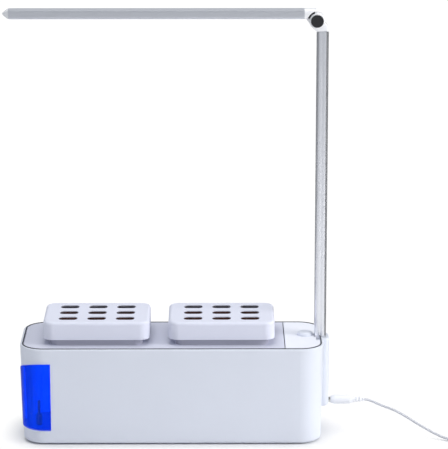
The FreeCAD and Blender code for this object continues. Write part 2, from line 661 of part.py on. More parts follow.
def lamp_wire():
    return rod(WIRE_R, (POLE_X, 0, JACK_Z + JACK_BODY_R + 7), (POLE_X, 0, POLE_TOP - INSERT_LENGTH - 0.5))


def elbow_prism(points, y0, y1):
    """Prism across Y over an outline given from the hinge axis, as (dx, dz)."""
    corners = [V(AXIS_X + dx, y0, AXIS_Z + dz) for dx, dz in points]
    return Part.Face(Part.makePolygon(corners + [corners[0]])).extrude(V(0, y1 - y0, 0))


def lower_knuckle():
    """Fork on top of the pole: two round cheeks joined by a spine on the right."""
    half = POLE_DEPTH / 2
    left = POLE_X - POLE_WIDTH / 2 - AXIS_X
    right = POLE_X + POLE_WIDTH / 2 - AXIS_X
    base = POLE_TOP - AXIS_Z
    diagonal = CHEEK_R * math.sqrt(0.5)
    outline = [(left, base), (right, base), (right, 0.0), (diagonal, diagonal), (-diagonal, -diagonal)]
    fork = elbow_prism(outline, -half, half)
    cheeks = rod(CHEEK_R, (AXIS_X, -half, AXIS_Z), (AXIS_X, half, AXIS_Z))
    fork = fuse([fork, cheeks])
    slot_half = TONGUE_THICKNESS / 2 + WASHER_THICKNESS + 2 * HINGE_RUNNING_GAP
    reach = TONGUE_R + 0.5
    slot = box(AXIS_X - 2 * reach, AXIS_X + reach, -slot_half, slot_half, AXIS_Z - reach, AXIS_Z + 2 * reach)
    relief = box(AXIS_X - 2 * reach, POLE_X, -slot_half, slot_half, POLE_TOP + 0.4, AXIS_Z)
    fork = fork.cut(slot).cut(relief)
    insert = pole_section(POLE_TOP - INSERT_LENGTH, POLE_TOP, POLE_WALL + INSERT_CLEARANCE)
    fork = fuse([fork, insert])
    bore = rod(PIN_R + HINGE_RUNNING_GAP, (AXIS_X, -half - 1, AXIS_Z), (AXIS_X, half + 1, AXIS_Z))
    fork = fork.cut(bore)
    return fork.cut(rod(WIRE_R + 0.5, (POLE_X, 0, POLE_TOP - INSERT_LENGTH - 1), (POLE_X, 0, AXIS_Z)))


def arm_section(x0, x1, shrink):
    """Solid of the arm's rounded outline between two places along X."""
    half_y = ARM_DEPTH / 2 - shrink
    radius = max(ARM_CORNER_R - shrink, 0.8)
    wire = rounded_outline(-half_y, half_y, shrink, ARM_HEIGHT - shrink, radius, 0)
    wire.rotate(V(0, 0, 0), V(1, 0, 0), 90)
    wire.rotate(V(0, 0, 0), V(0, 0, 1), 90)
    wire.translate(V(x0, 0, ARM_BOTTOM))
    return Part.Face(wire).extrude(V(x1 - x0, 0, 0))


def upper_knuckle():
    """Tongue between the cheeks, with the slanted shoulder that carries the arm."""
    shoulder = arm_section(ARM_RIGHT_X, AXIS_X, 0)
    reach = 40.0
    diagonal = SHOULDER_DISTANCE * math.sqrt(2)
    clear = elbow_prism([(-diagonal - reach, -reach), (reach, diagonal + reach), (reach, -reach)],
                        -ARM_DEPTH, ARM_DEPTH)
    shoulder = shoulder.cut(clear)
    half = TONGUE_THICKNESS / 2
    low = ARM_BOTTOM - AXIS_Z
    turn = math.radians(200)
    rise = math.radians(114)
    outline = [(-12.0, low), (-12.0, low + ARM_HEIGHT - 2.4), (-5.4, low + ARM_HEIGHT - 2.4),
               (TONGUE_R * math.cos(rise), TONGUE_R * math.sin(rise)), (0.0, 0.0),
               (TONGUE_R * math.cos(turn), TONGUE_R * math.sin(turn))]
    neck = elbow_prism(outline, -half, half)
    disc = rod(TONGUE_R, (AXIS_X, -half, AXIS_Z), (AXIS_X, half, AXIS_Z))
    insert = arm_insert(ARM_RIGHT_X - INSERT_LENGTH, ARM_RIGHT_X)
    knuckle = fuse([shoulder, neck, disc, insert])
    bore = rod(PIN_R + HINGE_RUNNING_GAP, (AXIS_X, -half - 1, AXIS_Z), (AXIS_X, half + 1, AXIS_Z))
    return knuckle.cut(bore)


def arm_room(x0, x1, clearance):
    """Channel inside the arm, open to its underside."""
    half_y = ARM_DEPTH / 2 - ARM_WALL - clearance
    return box(x0, x1, -half_y, half_y, ARM_BOTTOM - 1, ARM_BOTTOM + ARM_HEIGHT - ARM_WALL - clearance)


def led_board_levels():
    low = ARM_BOTTOM + LED_BOARD_HEIGHT
    return low, low + LED_BOARD_THICKNESS


def arm_insert(x0, x1):
    """Plug above the circuit board that closes an end of the arm's channel."""
    room = arm_room(x0, x1, INSERT_CLEARANCE)
    low = led_board_levels()[1] + INSERT_CLEARANCE
    return room.common(box(x0, x1, -ARM_DEPTH, ARM_DEPTH, low, ARM_BOTTOM + ARM_HEIGHT))


def lamp_arm():
    return arm_section(ARM_LEFT_X, ARM_RIGHT_X, 0).cut(arm_room(ARM_LEFT_X - 1, ARM_RIGHT_X + 1, 0))


def arm_diffuser():
    half_y = ARM_DEPTH / 2 - ARM_WALL - 0.05
    strip = box(ARM_LEFT_X, ARM_RIGHT_X, -half_y, half_y, ARM_BOTTOM, ARM_BOTTOM + DIFFUSER_THICKNESS)
    rails = []
    for side in (-1, 1):
        edge = side * half_y
        rails.append(box(ARM_LEFT_X, ARM_RIGHT_X, min(edge, edge - side * 0.9), max(edge, edge - side * 0.9),
                         ARM_BOTTOM, led_board_levels()[0]))
    return fuse([strip] + rails)


def led_board():
    low, high = led_board_levels()
    half_y = ARM_DEPTH / 2 - ARM_WALL - 0.1
    return box(ARM_LEFT_X + 1, ARM_RIGHT_X - 1, -half_y, half_y, low, high)


def led_chips():
    low = led_board_levels()[0]
    middle = (ARM_LEFT_X + ARM_RIGHT_X) / 2
    chips = []
    for i in range(LED_COUNT):
        x = middle + (i - (LED_COUNT - 1) / 2) * LED_PITCH
        chips.append(box(x - LED_SIDE / 2, x + LED_SIDE / 2, -LED_SIDE / 2, LED_SIDE / 2,
                         low - LED_THICKNESS, low))
    return Part.makeCompound(chips)


def arm_end_cap():
    """Blunt pointed cap on the free end of the arm."""
    wires = []
    for share, shrink in ((0.0, 0.0), (0.3, 0.5), (0.7, 2.1), (1.0, 4.2)):
        half_y = ARM_DEPTH / 2 - shrink
        radius = max(ARM_CORNER_R - shrink * 0.45, 0.5)
        wire = rounded_outline(-half_y, half_y, shrink * 0.92, ARM_HEIGHT - shrink, radius, 0)
        wire.rotate(V(0, 0, 0), V(1, 0, 0), 90)
        wire.rotate(V(0, 0, 0), V(0, 0, 1), 90)
        wire.translate(V(ARM_LEFT_X - CAP_LENGTH * share, 0, ARM_BOTTOM))
        wires.append(wire)
    cap = Part.makeLoft(wires, True, True)
    return fuse([cap, arm_insert(ARM_LEFT_X, ARM_LEFT_X + INSERT_LENGTH)])


def hinge_pin():
    half = POLE_DEPTH / 2
    return rod(PIN_R, (AXIS_X, -half, AXIS_Z), (AXIS_X, half, AXIS_Z))


def hinge_cap(side):
    """Black button that covers one end of the hinge pin."""
    face = side * POLE_DEPTH / 2
    cap = rod(CAP_R, (AXIS_X, face, AXIS_Z), (AXIS_X, face + side * CAP_THICKNESS, AXIS_Z))
    outer = [e for e in cap.Edges if abs(e.BoundBox.YMin - face - side * CAP_THICKNESS) < 0.01
             and e.BoundBox.YLength < 0.01]
    return cap.makeFillet(0.5, outer)


def friction_washers():
    washers = []
    for side in (-1, 1):
        near = side * (TONGUE_THICKNESS / 2 + HINGE_RUNNING_GAP)
        far = near + side * WASHER_THICKNESS
        ring = rod(WASHER_R, (AXIS_X, near, AXIS_Z), (AXIS_X, far, AXIS_Z))
        hole = rod(PIN_R + 0.1, (AXIS_X, near - side, AXIS_Z), (AXIS_X, far + side, AXIS_Z))
        washers.append(ring.cut(hole))
    return Part.makeCompound(washers)


def turned(profile):
    """Solid of revolution about the plug's axis, from (x, radius) corners."""
    points = [V(x, 0, JACK_Z + r) for x, r in profile]
    first, last = profile[0][0], profile[-1][0]
    points = [V(first, 0, JACK_Z)] + points + [V(last, 0, JACK_Z)]
    face = Part.Face(Part.makePolygon(points + [points[0]]))
    return face.revolve(V(0, 0, JACK_Z), V(1, 0, 0), 360)


def dc_plug():
    x = PLUG_NOSE_X
    end = x + PLUG_LENGTH
    body = turned([(x, 3.2), (x + 1.5, 4.2), (x + 4.5, PLUG_R), (end - 4, PLUG_R - 0.3), (end, RELIEF_R)])
    return body.cut(rod(BARREL_R, (x - 1, 0, JACK_Z), (x + 3, 0, JACK_Z)))


def plug_barrel():
    start = PLUG_NOSE_X + 3 - BARREL_LENGTH - 3
    tube = rod(BARREL_R, (start, 0, JACK_Z), (PLUG_NOSE_X + 3, 0, JACK_Z))
    return tube.cut(rod(BARREL_BORE_R, (start - 1, 0, JACK_Z), (start + BARREL_LENGTH, 0, JACK_Z)))


def plug_relief():
    """Ribbed strain relief between the plug and its lead."""
    start = PLUG_NOSE_X + PLUG_LENGTH
    ribs = 3
    step = RELIEF_LENGTH / ribs
    profile = []
    for i in range(ribs):
        x = start + i * step
        r = RELIEF_R - (RELIEF_R - CORD_D / 2 - 0.5) * i / ribs
        profile += [(x, r), (x + step * 0.58, r - 0.2), (x + step * 0.6, r - 0.9), (x + step * 0.98, r - 0.9)]
    profile.append((start + RELIEF_LENGTH, CORD_D / 2 + 0.4))
    return turned(profile)


def rounded_path(points):
    """Straight runs joined by tangent arcs, and the radii of those arcs."""
    corners = [V(*p) for p in points]
    edges = []
    radii = []
    start = corners[0]
    for i in range(1, len(corners) - 1):
        back = corners[i - 1] - corners[i]
        ahead = corners[i + 1] - corners[i]
        trim = 0.45 * min(back.Length, ahead.Length)
        back.normalize()
        ahead.normalize()
        half_turn = (math.pi - back.getAngle(ahead)) / 2
        radius = trim / math.tan(half_turn)
        radii.append(round(radius, 1))
        first = corners[i] + back * trim
        last = corners[i] + ahead * trim
        inward = back + ahead
        inward.normalize()
        middle = corners[i] + inward * (radius / math.cos(half_turn) - radius)
        edges.append(Part.LineSegment(start, first).toShape())
        edges.append(Part.Arc(first, middle, last).toShape())
        start = last
    edges.append(Part.LineSegment(start, corners[-1]).toShape())
    return Part.Wire(edges), radii


def tube_along(path, direction):
    """Round tube of the cord's diameter along a smooth path."""
    start = path.Vertexes[0].Point
    ring = Part.Wire([Part.makeCircle(CORD_D / 2, start, direction)])
    tube = path.makePipeShell([ring], True, False)
    section = math.pi * CORD_D ** 2 / 4
    print("tube length", round(path.Length, 1), "volume share", round(tube.Volume / section / path.Length, 4))
    return tube


def coil_geometry():
    """Centre of the coil, its entry point and the heading of the lead there."""
    entry = V(*CORD_ROUTE[-1])
    heading = entry - V(*CORD_ROUTE[-2])
    heading.normalize()
    left = V(-heading.y, heading.x, 0)
    return entry + left * COIL_OUTER_R, entry, heading


def coil_half_turns():
    """Points and headings at every half turn of the layers, in and out again.

    Each layer ends in a half turn that climbs to the next, and the last one in
    a quarter turn that points the tail away from the tub.
    """
    centre, entry, heading = coil_geometry()
    start_angle = math.atan2(entry.y - centre.y, entry.x - centre.x)
    halves = int(round(COIL_TURNS_PER_LAYER * 2))
    step = (CORD_D + COIL_GAP) / 2
    rise = CORD_D + COIL_GAP
    radius = COIL_OUTER_R
    height = entry.z
    points = [(entry, heading)]
    angle = start_angle
    for layer in range(COIL_LAYERS):
        direction = -1 if layer % 2 == 0 else 1
        last = layer == COIL_LAYERS - 1
        for _ in range(halves - 1 if last else halves):
            angle += math.pi
            radius += direction * step
            points.append(spot_on_coil(centre, angle, radius, height))
        if not last:
            angle += math.pi
            height += rise
            points.append(spot_on_coil(centre, angle, radius, height))
    points.append(spot_on_coil(centre, angle + math.pi / 2, radius + step / 2, height))
    return points


def spot_on_coil(centre, angle, radius, height):
    place = V(centre.x + radius * math.cos(angle), centre.y + radius * math.sin(angle), height)
    return place, V(-math.sin(angle), math.cos(angle), 0)


def arc_between(start, heading, end, reach):
    """Arc from start along heading to end, whose tangents meet at reach."""
    meet = start + heading * reach
    half_chord = (end - start) * 0.5
    centre_of_chord = start + half_chord
    depth = (meet - centre_of_chord).Length
    radius = reach * half_chord.Length / depth
    toward = centre_of_chord - meet
    toward.normalize()
    middle = meet + toward * (math.hypot(radius, reach) - radius)
    return Part.Arc(start, middle, end).toShape()


def biarc(start, heading, end, end_heading):
    """Two arcs that leave along heading and arrive along end_heading."""
    chord = end - start
    both = heading + end_heading
    across = chord.dot(both)
    factor = 2 * (1 - heading.dot(end_heading))
    reach = (-across + math.sqrt(across ** 2 + factor * chord.dot(chord))) / factor
    joint = (start + heading * reach + end - end_heading * reach) * 0.5
    back = V(-end_heading.x, -end_heading.y, -end_heading.z)
    return [arc_between(start, heading, joint, reach), reversed_arc(end, back, joint, reach)]


def reversed_arc(end, back, joint, reach):
    edge = arc_between(end, back, joint, reach)
    points = edge.discretize(3)
    return Part.Arc(points[2], points[1], points[0]).toShape()


def coil_path():
    edges = []
    spots = coil_half_turns()
    for (start, heading), (end, end_heading) in zip(spots, spots[1:]):
        edges += biarc(start, heading, end, end_heading)
    return Part.Wire(edges), spots[-1]


def least_gap(path):
    """Smallest clear distance of the coil to itself, measured on points."""
    count = 900
    points = path.discretize(count)
    spacing = path.Length / (count - 1)
    apart = int(CORD_D * 2.5 / spacing) + 1
    return min((points[i] - points[j]).Length for i in range(count) for j in range(i + apart, count)) - CORD_D


def cord_pieces():
    """Lead to the coil, the coil, and the tail into the adapter."""
    heading = coil_geometry()[2]
    lead_path, radii = rounded_path(CORD_ROUTE)
    path, (out, out_heading) = coil_path()
    tail_end = out + out_heading * TAIL_LENGTH
    tail_path = Part.Wire([Part.LineSegment(out, tail_end).toShape()])
    first = V(*CORD_ROUTE[1]) - V(*CORD_ROUTE[0])
    pieces = {
        "power_cord": tube_along(lead_path, first),
        "cord_coil": tube_along(path, heading),
        "cord_tail": tube_along(tail_path, out_heading),
    }
    print("cord arc radii", radii, "coil gap", round(least_gap(path), 2),
          "cord length", round(lead_path.Length + path.Length + TAIL_LENGTH, 1))
    return pieces, tail_end, out_heading


def along(shape, place, heading):
    """Turn a shape built along +X to the heading and carry it to its place."""
    angle = math.degrees(math.atan2(heading.y, heading.x))
    shape.rotate(V(0, 0, 0), V(0, 0, 1), angle)
    shape.translate(V(place.x, place.y, 0))
    return shape


def power_adapter(place, heading):
    """Wall adapter lying on the table, with a short tapered gland."""
    thin, thick = CORD_D / 2 + 0.7, RELIEF_R + 0.6
    gland = Part.makeCone(thin, thick, ADAPTER_RELIEF_LENGTH, V(0, 0, place.z), V(1, 0, 0))
    half = ADAPTER_WIDTH / 2
    body = box(ADAPTER_RELIEF_LENGTH, ADAPTER_RELIEF_LENGTH + ADAPTER_LENGTH, -half, half, 0, ADAPTER_HEIGHT)
    body = body.makeFillet(ADAPTER_EDGE_R, body.Edges)
    return along(fuse([body, gland]), place, heading)


def adapter_blades(place, heading):
    start = ADAPTER_RELIEF_LENGTH + ADAPTER_LENGTH
    blades = []
    for side in (-1, 1):
        y = side * BLADE_SPACING / 2
        blade = box(start, start + BLADE_LENGTH, y - BLADE_THICKNESS / 2, y + BLADE_THICKNESS / 2,
                    ADAPTER_HEIGHT / 2 - BLADE_WIDTH / 2, ADAPTER_HEIGHT / 2 + BLADE_WIDTH / 2)
        blades.append(blade)
    return along(Part.makeCompound(blades), place, heading)


def all_pieces():
    pieces = {
        "outer_casing": outer_casing(),
        "base_plate": base_plate(),
        "base_screws": base_screws(),
        "rubber_feet": rubber_feet(),
        "water_tank": water_tank(),
        "float_guide": float_guide(),
        "float_rest": float_rest(),
        "level_float": level_float(),
        "deck_cover": deck_cover(),
        "control_panel": control_panel(),
        "push_button": push_button(),
        "switch_plunger": switch_plunger(),
        "tact_switch": tact_switch(),
        "control_board": control_board(),
        "dc_jack": dc_jack(),
        "pole_sleeve": pole_sleeve(),
        "lamp_pole": lamp_pole(),
        "lamp_wire": lamp_wire(),
        "lower_knuckle": lower_knuckle(),
        "upper_knuckle": upper_knuckle(),
        "hinge_pin": hinge_pin(),
        "hinge_cap_front": hinge_cap(-1),
        "hinge_cap_back": hinge_cap(1),
        "friction_washers": friction_washers(),
        "lamp_arm": lamp_arm(),
        "led_board": led_board(),
        "led_chips": led_chips(),
        "arm_diffuser": arm_diffuser(),
        "arm_end_cap": arm_end_cap(),
    }
    for side, cx in zip(("left", "right"), LID_CENTRES_X):
        pieces["basket_" + side] = plant_basket(cx)
        pieces["lid_" + side] = plant_lid(cx)
        pieces["grow_medium_" + side] = grow_medium(cx)
    return pieces


def lead_pieces():
    cords, tail_end, heading = cord_pieces()
    cords["dc_plug"] = dc_plug()
    cords["plug_barrel"] = plug_barrel()
    cords["plug_relief"] = plug_relief()
    cords["power_adapter"] = power_adapter(tail_end, heading)
    cords["adapter_blades"] = adapter_blades(tail_end, heading)
    return cords


pieces = all_pieces()
pieces.update(lead_pieces())
left_reach = ARM_LEFT_X - CAP_LENGTH
window_reach = WINDOW_PROUD - BODY_DRAFT * (BODY_HEIGHT - WINDOW_TOP) / BODY_HEIGHT
shift = V(-(left_reach + HOUSING_OUTER_X) / 2, window_reach / 2, 0)
for name, shape in pieces.items():
    shape.translate(shift)
    shape.exportStep("parts/" + name + ".step")
print("shift", tuple(round(c, 4) for c in shift))
print("hinge axis", round(AXIS_X + shift.x, 4), round(shift.y, 4), round(AXIS_Z + shift.z, 4))
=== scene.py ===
import bpy
import math
import numpy as np
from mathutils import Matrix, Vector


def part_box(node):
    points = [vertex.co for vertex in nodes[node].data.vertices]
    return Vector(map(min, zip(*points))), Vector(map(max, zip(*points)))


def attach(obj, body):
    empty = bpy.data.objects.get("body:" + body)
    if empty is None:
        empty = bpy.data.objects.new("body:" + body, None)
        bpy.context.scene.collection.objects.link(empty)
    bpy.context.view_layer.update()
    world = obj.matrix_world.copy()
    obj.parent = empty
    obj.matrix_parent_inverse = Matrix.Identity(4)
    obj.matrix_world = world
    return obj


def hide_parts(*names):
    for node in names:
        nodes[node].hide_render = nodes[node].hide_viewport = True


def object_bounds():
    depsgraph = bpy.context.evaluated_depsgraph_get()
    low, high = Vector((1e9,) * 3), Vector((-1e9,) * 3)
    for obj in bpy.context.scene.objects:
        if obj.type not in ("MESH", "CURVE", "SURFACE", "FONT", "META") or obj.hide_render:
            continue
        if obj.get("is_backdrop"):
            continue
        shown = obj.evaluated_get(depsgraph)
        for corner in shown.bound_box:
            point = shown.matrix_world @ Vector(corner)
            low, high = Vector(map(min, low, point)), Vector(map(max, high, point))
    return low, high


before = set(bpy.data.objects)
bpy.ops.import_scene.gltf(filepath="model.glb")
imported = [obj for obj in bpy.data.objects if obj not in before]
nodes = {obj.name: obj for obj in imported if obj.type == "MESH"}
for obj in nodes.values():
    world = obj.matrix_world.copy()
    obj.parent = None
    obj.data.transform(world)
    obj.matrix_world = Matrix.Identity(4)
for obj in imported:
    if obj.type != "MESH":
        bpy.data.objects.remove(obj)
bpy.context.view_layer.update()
scene = bpy.context.scene
scene.view_settings.view_transform = "Standard"

# Camera. A long lens 2.65 m in front of the tub and 0.89 m above the table, looking
# 14 degrees down, as a catalogue picture is taken.
lens = bpy.data.cameras.new("catalogue_lens")
lens.sensor_fit = "VERTICAL"
lens.sensor_height = 36.0
lens.lens = 204.58
camera = bpy.data.objects.new("catalogue_camera", lens)
camera.location = (0.04927, -2.64736, 0.8876)
camera.rotation_euler = (math.radians(90 - 13.937), 0.0, math.radians(-0.224))
scene.collection.objects.link(camera)
scene.camera = camera


def lin(r, g, b):
    """Linear colour of a colour written as it shows on a screen, 0 to 255."""
    c = np.array([r, g, b]) / 255.0
    c = np.where(c <= 0.04045, c / 12.92, ((c + 0.055) / 1.055) ** 2.4)
    return (*c.tolist(), 1.0)


# Table and room. A pale table top that runs out of sight, a white room with dark
# screens left and right that only glosses see, and two soft lamps.
def clear_nodes(material):
    """Empties a new material and returns its nodes, its links and its output."""
    material.use_nodes = True
    tree = material.node_tree
    tree.nodes.clear()
    return tree.nodes, tree.links, tree.nodes.new("ShaderNodeOutputMaterial")


def table_top():
    """Matt white, lifted towards plain white for the camera but still shaded.

    The lift follows how open the table is to the room within 4 cm, so that the
    shadow line under the tub shows. Glosses see dark cloths left and right.
    """
    material = bpy.data.materials.new("table_white")
    new, link, out = clear_nodes(material)
    matt = new.new("ShaderNodeBsdfDiffuse")
    glow = new.new("ShaderNodeEmission")
    glow.inputs["Color"].default_value = (1, 1, 1, 1)
    glow.inputs["Strength"].default_value = 1.04
    ray = new.new("ShaderNodeLightPath")
    seen = new.new("ShaderNodeMath")
    seen.operation = "MAXIMUM"
    openness = new.new("ShaderNodeAmbientOcclusion")
    openness.samples = 12
    openness.inputs["Distance"].default_value = 0.04
    lift = new.new("ShaderNodeMapRange")
    lift.inputs["From Min"].default_value = 0.45
    lift.inputs["From Max"].default_value = 0.9
    share = new.new("ShaderNodeMath")
    share.operation = "MULTIPLY"
    mix = new.new("ShaderNodeMixShader")
    place = new.new("ShaderNodeTexCoord")
    cloth = new.new("ShaderNodeMath")
    cloth.operation = "MAXIMUM"
    for side, begin, end, depth, slot in ((1, 0.2, 0.45, 0.95, 0), (-1, 0.35, 0.6, 0.6, 1)):
        slant = new.new("ShaderNodeVectorMath")
        slant.operation = "DOT_PRODUCT"
        slant.inputs[1].default_value = (side, 0.7, 0)
        edge = new.new("ShaderNodeMapRange")
        edge.inputs["From Min"].default_value = begin
        edge.inputs["From Max"].default_value = end
        edge.inputs["To Max"].default_value = depth
        link.new(place.outputs["Object"], slant.inputs[0])
        link.new(slant.outputs["Value"], edge.inputs["Value"])
        link.new(edge.outputs["Result"], cloth.inputs[slot])
    in_gloss = new.new("ShaderNodeMath")
    in_gloss.operation = "MULTIPLY"
    tone = new.new("ShaderNodeMix")
    tone.data_type = "RGBA"
    tone.inputs[6].default_value = (0.86, 0.86, 0.87, 1)
    tone.inputs[7].default_value = (0.0, 0.0, 0.0, 1)
    link.new(cloth.outputs[0], in_gloss.inputs[0])
    link.new(ray.outputs["Is Glossy Ray"], in_gloss.inputs[1])
    link.new(in_gloss.outputs[0], tone.inputs["Factor"])
    link.new(tone.outputs[2], matt.inputs["Color"])
    link.new(ray.outputs["Is Camera Ray"], seen.inputs[0])
    link.new(ray.outputs["Is Transmission Ray"], seen.inputs[1])
    link.new(openness.outputs["AO"], lift.inputs["Value"])
    link.new(seen.outputs[0], share.inputs[0])
    link.new(lift.outputs["Result"], share.inputs[1])
    link.new(share.outputs[0], mix.inputs["Fac"])
    link.new(matt.outputs[0], mix.inputs[1])
    link.new(glow.outputs[0], mix.inputs[2])
    link.new(mix.outputs[0], out.inputs["Surface"])
    return material


reach = 30
table_corners = [(-reach, -reach, 0), (reach, -reach, 0), (reach, reach, 0), (-reach, reach, 0)]
table_mesh = bpy.data.meshes.new("table")
table_mesh.from_pydata(table_corners, [], [(0, 1, 2, 3)])
table = bpy.data.objects.new("table", table_mesh)
table_mesh.materials.append(table_top())
scene.collection.objects.link(table)
table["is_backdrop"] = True

world = bpy.data.worlds.new("white_room")
scene.world = world
world.use_nodes = True
world.node_tree.nodes.clear()
room = world.node_tree.nodes
wires = world.node_tree.links
dim = room.new("ShaderNodeBackground")
dim.inputs["Color"].default_value = (0.90, 0.94, 1.0, 1)
white = room.new("ShaderNodeBackground")
white.inputs["Color"].default_value = (1, 1, 1, 1)
white.inputs["Strength"].default_value = 1.0
ray = room.new("ShaderNodeLightPath")
camera_or_glass = room.new("ShaderNodeMath")
camera_or_glass.operation = "MAXIMUM"
choose = room.new("ShaderNodeMixShader")
sky = room.new("ShaderNodeOutputWorld")
wires.new(ray.outputs["Is Camera Ray"], camera_or_glass.inputs[0])
toward = room.new("ShaderNodeTexCoord")
split = room.new("ShaderNodeSeparateXYZ")
screens = []
for side, begin, end, depth in ((1, 0.15, 0.5, 0.9), (-1, 0.55, 0.85, 0.5)):
    screen = room.new("ShaderNodeMapRange")
    screen.inputs["From Min"].default_value = side * begin
    screen.inputs["From Max"].default_value = side * end
    screen.inputs["To Max"].default_value = depth
    wires.new(split.outputs["X"], screen.inputs["Value"])
    screens.append(screen)
both = room.new("ShaderNodeMath")
both.operation = "MAXIMUM"
in_gloss = room.new("ShaderNodeMath")
in_gloss.operation = "MULTIPLY"
level = room.new("ShaderNodeMapRange")
level.inputs["To Min"].default_value = 0.5
level.inputs["To Max"].default_value = 0.0
wires.new(toward.outputs["Generated"], split.inputs[0])
wires.new(screens[0].outputs["Result"], both.inputs[0])
wires.new(screens[1].outputs["Result"], both.inputs[1])
wires.new(both.outputs[0], in_gloss.inputs[0])
wires.new(ray.outputs["Is Glossy Ray"], in_gloss.inputs[1])
wires.new(in_gloss.outputs[0], level.inputs["Value"])
wires.new(level.outputs["Result"], dim.inputs["Strength"])
wires.new(ray.outputs["Is Transmission Ray"], camera_or_glass.inputs[1])
wires.new(camera_or_glass.outputs[0], choose.inputs["Fac"])
wires.new(dim.outputs[0], choose.inputs[1])
wires.new(white.outputs[0], choose.inputs[2])
wires.new(choose.outputs[0], sky.inputs["Surface"])


def soft_lamp(name, place, target, size, watts, colour):
    """Square area lamp at a place, turned to face a target."""
    lamp = bpy.data.lights.new(name, "AREA")
    lamp.size = size
    lamp.energy = watts
    lamp.color = colour
    holder = bpy.data.objects.new(name, lamp)
    holder.location = place
    aim = Vector(target) - Vector(place)
    holder.rotation_euler = aim.to_track_quat("-Z", "Y").to_euler()
    holder.visible_glossy = False
    scene.collection.objects.link(holder)


soft_lamp("lamp_right", (1.7, -0.6, 0.9), (0, 0, 0.1), 0.9, 24.0, (1.0, 0.99, 0.98))
soft_lamp("lamp_above", (-0.1, 0.1, 1.9), (0, 0, 0.1), 1.2, 14.0, (1.0, 1.0, 1.0))


# Tub. One white injection moulding with slightly leaning walls, a pole housing
# on its right end and an opening for the tank at its front left corner.
def moulded(name, colour, rough, grain=2400.0, relief=0.00002, tone=0.03, coat=0.0):
    """Moulded plastic: fine spark texture, faint tone drift, uneven gloss.

    The tone follows broad noise between the colour and a share less of it, the
    gloss follows mid-size noise, and fine noise gives the texture its relief.
    """
    material = bpy.data.materials.new(name)
    new, link, out = clear_nodes(material)
    surface = new.new("ShaderNodeBsdfPrincipled")
    surface.inputs["Coat Weight"].default_value = coat
    surface.inputs["Coat Roughness"].default_value = 0.12
    place = new.new("ShaderNodeTexCoord")
    broad = new.new("ShaderNodeTexNoise")
    broad.inputs["Scale"].default_value = 14.0
    broad.inputs["Detail"].default_value = 3.0
    drift = new.new("ShaderNodeMix")
    drift.data_type = "RGBA"
    drift.inputs[6].default_value = [c * (1 - tone) for c in colour[:3]] + [1]
    drift.inputs[7].default_value = [min(1.0, c * (1 + tone)) for c in colour[:3]] + [1]
    middle = new.new("ShaderNodeTexNoise")
    middle.inputs["Scale"].default_value = 160.0
    middle.inputs["Detail"].default_value = 4.0
    gloss = new.new("ShaderNodeMapRange")
    gloss.inputs["To Min"].default_value = max(0.02, rough - 0.06)
    gloss.inputs["To Max"].default_value = min(1.0, rough + 0.06)
    fine = new.new("ShaderNodeTexNoise")
    fine.inputs["Scale"].default_value = grain
    fine.inputs["Detail"].default_value = 2.0
    bump = new.new("ShaderNodeBump")
    bump.inputs["Strength"].default_value = 0.35
    bump.inputs["Distance"].default_value = relief
    for noise in (broad, middle, fine):
        link.new(place.outputs["Object"], noise.inputs["Vector"])
    link.new(broad.outputs["Fac"], drift.inputs["Factor"])
    link.new(drift.outputs[2], surface.inputs["Base Color"])
    link.new(middle.outputs["Fac"], gloss.inputs["Value"])
    link.new(gloss.outputs["Result"], surface.inputs["Roughness"])
    link.new(fine.outputs["Fac"], bump.inputs["Height"])
    link.new(bump.outputs["Normal"], surface.inputs["Normal"])
    link.new(surface.outputs[0], out.inputs["Surface"])
    return material


def dress(material, *names):
    """Gives CAD nodes their finish."""
    for name in names:
        skin = nodes[name].data
        skin.materials.clear()
        skin.materials.append(material)


tub_white = moulded("tub_white", lin(226, 230, 240), 0.34)
dress(tub_white, "outer_casing", "base_plate", "pole_sleeve")

# Feet and base screws. Four soft black pads on the base plate, and four slotted
# steel screws that pull the plate up against the posts of the tub.
dress(moulded("foot_black", lin(38, 38, 41), 0.75, grain=1500.0, relief=0.00004), "rubber_feet")


def metal(name, colour, rough, stretch=(1, 1, 1), scale=900.0, metallic=1.0):
    """Metal with drawn lines: noise squeezed by stretch sets gloss and relief."""
    material = bpy.data.materials.new(name)
    new, link, out = clear_nodes(material)
    surface = new.new("ShaderNodeBsdfPrincipled")
    surface.inputs["Metallic"].default_value = metallic
    place = new.new("ShaderNodeTexCoord")
    squeeze = new.new("ShaderNodeMapping")
    squeeze.inputs["Scale"].default_value = stretch
    lines = new.new("ShaderNodeTexNoise")
    lines.inputs["Scale"].default_value = scale
    lines.inputs["Detail"].default_value = 4.0
    gloss = new.new("ShaderNodeMapRange")
    gloss.inputs["To Min"].default_value = max(0.05, rough - 0.08)
    gloss.inputs["To Max"].default_value = rough + 0.08
    tint = new.new("ShaderNodeMix")
    tint.data_type = "RGBA"
    tint.inputs[6].default_value = [c * 0.95 for c in colour[:3]] + [1]
    tint.inputs[7].default_value = [min(1.0, c * 1.04) for c in colour[:3]] + [1]
    bump = new.new("ShaderNodeBump")
    bump.inputs["Strength"].default_value = 0.25
    bump.inputs["Distance"].default_value = 0.00001
    link.new(place.outputs["Object"], squeeze.inputs["Vector"])
    link.new(squeeze.outputs[0], lines.inputs["Vector"])
    link.new(lines.outputs["Fac"], gloss.inputs["Value"])
    link.new(lines.outputs["Fac"], tint.inputs["Factor"])
    link.new(lines.outputs["Fac"], bump.inputs["Height"])
    link.new(gloss.outputs["Result"], surface.inputs["Roughness"])
    link.new(tint.outputs[2], surface.inputs["Base Color"])
    link.new(bump.outputs["Normal"], surface.inputs["Normal"])
    link.new(surface.outputs[0], out.inputs["Surface"])
    return material


plain_steel = metal("plain_steel", lin(190, 190, 194), 0.35)
dress(plain_steel, "base_screws", "hinge_pin")


